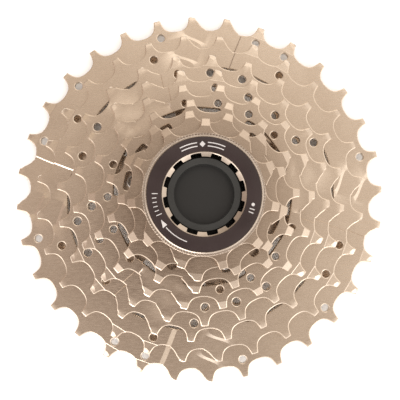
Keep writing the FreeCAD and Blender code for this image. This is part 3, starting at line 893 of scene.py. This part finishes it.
# --------------------------------------------------------------------------
# serrated washer, lock ring, its printed face and marks
# --------------------------------------------------------------------------
def washer():
    (x0, y0, zlo), (x1, y1, zhi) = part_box("lockring_washer")
    z0, z1 = zlo / MM, zhi / MM
    n = 126
    angles = [i * 360.0 / (2 * n) for i in range(2 * n)]
    def toothed(r, z, d, dr=0.0):
        return [((r - (dr if i % 2 else 0)) * math.cos(rad(a)), (r - (dr if i % 2 else 0)) * math.sin(rad(a)),
                 z - (d if i % 2 else 0)) for i, a in enumerate(angles)]
    rings = [ring_at(15.5, z0, angles), ring_at(18.3, z0, angles), toothed(18.35, z0 + 0.1, 0, 0.14),
             toothed(18.35, z1 - 0.08, 0.14, 0.14), toothed(18.25, z1, 0.16, 0.12), toothed(16.9, z1, 0.16),
             ring_at(16.8, z1, angles), ring_at(15.5, z1, angles)]
    ob = loft_mesh("serrated_washer", rings, smooth_angle=20)
    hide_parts("lockring_washer")
    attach(ob, "washer")
    return dress(ob, WASHER_STEEL)


washer()

NOTCH_PHASE = 12.0
LAND, NOTCH, MOUTH, RIM = 11.1, 12.2, 12.35, 17.6


def lock_ring():
    (x0, y0, zlo), (x1, y1, zhi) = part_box("lockring")
    zb, zt = zlo / MM, zhi / MM
    seat = zt - 1.6
    # notch half angles: at its mouth (r = notch radius) and at the land
    half_n = math.degrees(math.asin(1.65 / NOTCH))
    half_l = math.degrees(math.asin(1.65 / LAND))
    angles = []
    for k in range(12):
        c = NOTCH_PHASE + 30 * k
        angles += [c - half_l, c - half_n * 0.96, c - 3.6, c, c + 3.6, c + half_n * 0.96, c + half_l]
        angles += [c + half_l + (30 - 2 * half_l) * j / 8 for j in range(1, 8)]
    kind = []
    for k in range(12):
        kind += [0, 1, 1, 1, 1, 1, 0] + [0] * 7

    def inner(z_land, z_notch, off_l=0.0, off_n=0.0):
        out = []
        for a, t in zip(angles, kind):
            r, z = (NOTCH + off_n, z_notch) if t else (LAND + off_l, z_land)
            out.append((r * math.cos(rad(a)), r * math.sin(rad(a)), z))
        return out
    pitch = 25.4 / 24
    rings = [inner(zb, zb, 0.25, 0.1), ring_at(14.6, zb, angles)]
    z, steps = zb + 0.15, 8
    z_end = seat - 0.25
    n_r = int((z_end - z) / (pitch / steps))
    for i in range(n_r + 1):
        zz = z + (z_end - z) * i / n_r
        row = []
        fade = min(1.0, (zz - z) / 0.5, (z_end - zz) / 0.5)
        for a in angles:
            ph = (zz / pitch - a / 360.0) % 1.0
            tri = abs(2 * ph - 1)          # 1 at the crest, 0 at the root
            depth = 0.55 * (1 - min(1.0, max(0.0, (tri - 0.08) / 0.8)))
            r = 15.28 - depth * fade - (1 - fade) * 0.5
            row.append((r * math.cos(rad(a)), r * math.sin(rad(a)), zz))
        rings.append(row)
    e = 0.12
    rings += [ring_at(14.8, seat, angles), ring_at(RIM - e, seat, angles), ring_at(RIM, seat + e, angles),
              ring_at(RIM, zt - 0.5, angles), ring_at(RIM - 0.06, zt - 0.36, angles),
              ring_at(RIM - 0.36, zt - 0.06, angles), ring_at(RIM - 0.48, zt - 0.01, angles),
              ring_at(RIM - 0.54, zt - 0.01, angles), ring_at(RIM - 0.62, zt - 0.12, angles),
              ring_at(MOUTH + 0.24, zt - 0.12, angles), ring_at(MOUTH + 0.17, zt - 0.02, angles),
              ring_at(MOUTH + 0.1, zt - 0.02, angles), ring_at(MOUTH + 0.02, zt - 0.08, angles),
              inner(zt - 0.62, zt - 0.22, 0.06, 0.0), inner(zt - 0.75, zt - 0.40, 0.0, 0.0)]
    ob = loft_mesh("lock_ring", rings, smooth_angle=24)
    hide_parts("lockring")
    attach(ob, "ring")
    dress(ob, RING_NICKEL)
    # black printed face, a thin skin laid in the shallow recess
    fine = [i * 2.0 for i in range(180)]
    r0, r1 = MOUTH + 0.26, RIM - 0.64
    rings = [ring_at(r0, zt - 0.12, fine), ring_at(r0 + 0.03, zt - 0.05, fine), ring_at(r0 + 0.12, zt - 0.03, fine),
             ring_at((r0 + r1) / 2, zt - 0.03, fine), ring_at(r1 - 0.12, zt - 0.03, fine),
             ring_at(r1 - 0.03, zt - 0.05, fine), ring_at(r1, zt - 0.12, fine)]
    face = loft_mesh("ring_face", rings, smooth_angle=30)
    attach(face, "ring")
    dress(face, FACE_BLACK)
    return zt


def arc_mark(r0, r1, a0, a1, z, n=None):
    """A thin printed bar along an arc: a closed slab."""
    n = n or max(2, int(abs(a1 - a0) / 2))
    h = 0.03
    verts, faces = [], []
    for i in range(n + 1):
        a = a0 + (a1 - a0) * i / n
        for r, zz in ((r0, z), (r1, z), (r1, z + h), (r0, z + h)):
            verts.append((r * math.cos(rad(a)), r * math.sin(rad(a)), zz))
    for i in range(n):
        a, b = 4 * i, 4 * (i + 1)
        for j in range(4):
            k = (j + 1) % 4
            faces.append((a + j, a + k, b + k, b + j))
    faces.append((0, 1, 2, 3)); faces.append(tuple(4 * n + j for j in (3, 2, 1, 0)))
    return verts, faces


def poly_mark(pts, z):
    """A thin printed flat shape from (radius, angle) corners."""
    h, n = 0.03, len(pts)
    verts = [(*polar(r, a), z) for r, a in pts] + [(*polar(r, a), z + h) for r, a in pts]
    faces = [tuple(range(n))[::-1], tuple(range(n, 2 * n))]
    faces += [(i, (i + 1) % n, n + (i + 1) % n, n + i) for i in range(n)]
    return verts, faces


def marks(zt):
    z = zt - 0.045
    sets = {"white": []}
    # top: two plain bands with a small lozenge between them
    sets["white"].append(arc_mark(15.15, 15.45, 66, 86, z))
    sets["white"].append(arc_mark(14.1, 14.4, 66, 86, z))
    sets["white"].append(arc_mark(15.15, 15.45, 98, 118, z))
    sets["white"].append(arc_mark(14.1, 14.4, 98, 118, z))
    sets["white"].append(poly_mark([(13.9, 92), (14.8, 95.4), (15.7, 92), (14.8, 88.6)], z))
    # lower left: arrow that shows the tightening direction, with its tail
    sets["white"].append(poly_mark([(15.7, 219.5), (14.1, 219.5), (14.75, 210.5)], z))
    sets["white"].append(arc_mark(14.72, 15.0, 221, 250, z))
    # left: a row of ticks
    for k in range(6):
        a = 179 + 5.0 * k
        sets["white"].append(arc_mark(14.1 if k % 5 else 13.7, 15.4, a, a + 0.9, z, 2))
    # right: two short bars and a dot
    for a in (338, 342):
        sets["white"].append(arc_mark(14.0, 15.5, a, a + 1.2, z, 2))
    sets["white"].append(poly_mark([(14.7 + 0.5 * math.cos(t), 348 + 0.5 / 14.7 * 57.3 * math.sin(t)) for t in
                                    [2 * math.pi * i / 16 for i in range(16)]], z))
    for tag, mat in (("white", MARK_WHITE),):
        verts, faces = [], []
        for v, f in sets[tag]:
            base = len(verts)
            verts += v
            faces += [tuple(i + base for i in q) for q in f]
        ob = finish_mesh("ring_marks_" + tag, verts, faces, smooth_angle=20)
        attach(ob, "ring")
        dress(ob, mat)


marks(lock_ring())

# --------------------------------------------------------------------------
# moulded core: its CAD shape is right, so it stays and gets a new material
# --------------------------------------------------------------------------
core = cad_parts["shipping_core"]
core.data.materials.clear()
# painted shade: the dish inside the post is painted darker, for the shade it lies in
cnt = CORE_PLASTIC.node_tree
cbsdf = [n for n in cnt.nodes if n.type == "BSDF_PRINCIPLED"][0]
plain = cbsdf.inputs["Base Color"].links[0].from_socket
cco = node(cnt, "ShaderNodeVectorMath", operation="MULTIPLY")
cnt.links.new(node(cnt, "ShaderNodeTexCoord").outputs["Object"], cco.inputs[0])
cco.inputs[1].default_value = (1.0, 1.0, 0.0)
clen = node(cnt, "ShaderNodeVectorMath", operation="LENGTH")
cnt.links.new(cco.outputs[0], clen.inputs[0])
shade = maprange(cnt, clen.outputs["Value"], 0.0086, 0.0090, 0.70, 0.0)
dish_with_painted_shade = mix(cnt, shade, plain, (0.006, 0.006, 0.0062))
cnt.links.new(dish_with_painted_shade, cbsdf.inputs["Base Color"])
core.data.materials.append(CORE_PLASTIC)

# --------------------------------------------------------------------------
# floor, light and camera
# --------------------------------------------------------------------------
floor_me = bpy.data.meshes.new("floor")
floor_me.from_pydata([(-3, -3, -0.00005), (3, -3, -0.00005), (3, 3, -0.00005), (-3, 3, -0.00005)], [], [(0, 1, 2, 3)])
floor = bpy.data.objects.new("floor", floor_me)
bpy.context.scene.collection.objects.link(floor)
fm, fnt, fb = new_material("floor_white")
fb.inputs["Base Color"].default_value = (0.93, 0.93, 0.93, 1)
fb.inputs["Roughness"].default_value = 0.9
floor.data.materials.append(fm)

world = bpy.data.worlds.new("studio")
bpy.context.scene.world = world
world.use_nodes = True
wn = world.node_tree
wn.nodes.clear()
wout = wn.nodes.new("ShaderNodeOutputWorld")
bg = wn.nodes.new("ShaderNodeBackground")
wn.links.new(bg.outputs[0], wout.inputs[0])
wdir = wn.nodes.new("ShaderNodeTexCoord").outputs["Generated"]


def vmath(op, a, b=None, c=None):
    n = wn.nodes.new("ShaderNodeVectorMath")
    n.operation = op
    for k, v in enumerate((a, b, c)):
        if v is None:
            continue
        if isinstance(v, tuple):
            n.inputs[k].default_value = v
        else:
            wn.links.new(v, n.inputs[k])
    return n


def smath(op, a, b=None):
    n = wn.nodes.new("ShaderNodeMath")
    n.operation = op
    for k, v in enumerate((a, b)):
        if v is None:
            continue
        if isinstance(v, (int, float)):
            n.inputs[k].default_value = v
        else:
            wn.links.new(v, n.inputs[k])
    return n.outputs[0]


def lobe(direction, power, color):
    """A soft patch of light: color times cosine to a power."""
    d = Vector(direction).normalized()
    f = vmath("DOT_PRODUCT", wdir, tuple(d)).outputs["Value"]
    f = smath("POWER", smath("MAXIMUM", f, 0.0), power)
    n = vmath("SCALE", color)
    wn.links.new(f, n.inputs["Scale"])
    return n.outputs[0]


# a studio tent: even grey overhead, white sides, brighter to the upper right,
# a low bright panel in front
sky = None
LOBES = [((0, 0, 1), 0.0, (0.435, 0.358, 0.300)),
         ((0.52, 0.62, 0.75), 2.5, (0.655, 0.578, 0.482)),
         ((-0.04, -0.04, 1.0), 70.0, (-0.56, -0.495, -0.417)),
         ((0.0, -1.0, 0.22), 7.0, (1.1, 1.08, 1.06)),
         ((-0.80, -0.66, 0.22), 9.0, (1.6, 1.56, 1.52)),
         ((-0.05, 0.56, 0.83), 110.0, (1.0, 0.98, 0.93)),
         ((0.52, -0.19, 0.83), 110.0, (0.9, 0.88, 0.84)),
         ((-0.42, -0.36, 0.83), 80.0, (0.80, 0.77, 0.74)),
         ((-0.42, 0.29, 0.86), 260.0, (0.40, 0.38, 0.22)),
         ((0.46, 0.36, 0.80), 26.0, (-0.42, -0.375, -0.31)),
         ((0.58, -0.64, 0.50), 22.0, (2.4, 2.34, 2.28)),
         ((-0.66, -0.56, 0.50), 30.0, (1.3, 1.26, 1.22)),
         ((0.70, 0.70, 0.05), 4.0, (-0.30, -0.265, -0.22)),
         ((-1.0, 0.1, 0.9), 6.0, (0.16, 0.11, 0.10)),
         ((0.95, -0.1, 0.45), 9.0, (0.8, 0.79, 0.77)),
         ((0.15, 0.95, 0.55), 12.0, (0.28, 0.275, 0.26))]
for d, pw, col in LOBES:
    v = lobe(d, pw, col)
    sky = v if sky is None else vmath("ADD", sky, v).outputs[0]
wn.links.new(sky, bg.inputs["Color"])
bg.inputs["Strength"].default_value = 1.0


def area_light(name, loc, target, size, power, color=(1, 1, 1), size_y=None):
    li = bpy.data.lights.new(name, "AREA")
    li.shape = "RECTANGLE"
    li.size = size
    li.size_y = size_y or size
    li.energy = power
    li.color = color
    ob = bpy.data.objects.new(name, li)
    ob.location = loc
    d = Vector(target) - Vector(loc)
    ob.rotation_euler = d.to_track_quat("-Z", "Y").to_euler()
    bpy.context.scene.collection.objects.link(ob)
    return ob


area_light("front_panel", (-0.25, -0.62, 0.16), (0, 0, 0.02), 0.5, 1.8, (1.0, 0.98, 0.96), 0.18)
# a wide softbox straight overhead that lights the table and the plastic; the
# metal reflects only the tent
overhead = area_light("overhead", (0, 0, 0.9), (0, 0, 0), 1.0, 6.0)
overhead.visible_glossy = False
area_light("key", (0.42, 0.50, 0.50), (0, 0, 0.02), 0.8, 0.7, (1.0, 0.985, 0.95))

cam_data = bpy.data.cameras.new("camera")
cam_data.sensor_width = 36.0
cam_data.lens = 36.0 * 563.4 / 400.0
cam_data.clip_start = 0.01
cam = bpy.data.objects.new("camera", cam_data)
bpy.context.scene.collection.objects.link(cam)
rot = Matrix.Rotation(rad(1.66), 4, "X") @ Matrix.Rotation(rad(-1.5), 4, "Y")
cam.matrix_world = Matrix.Translation((-0.0056, -0.00652, 0.20124 + 0.0043)) @ rot
bpy.context.scene.camera = cam
bpy.context.scene.view_settings.view_transform = "Standard"
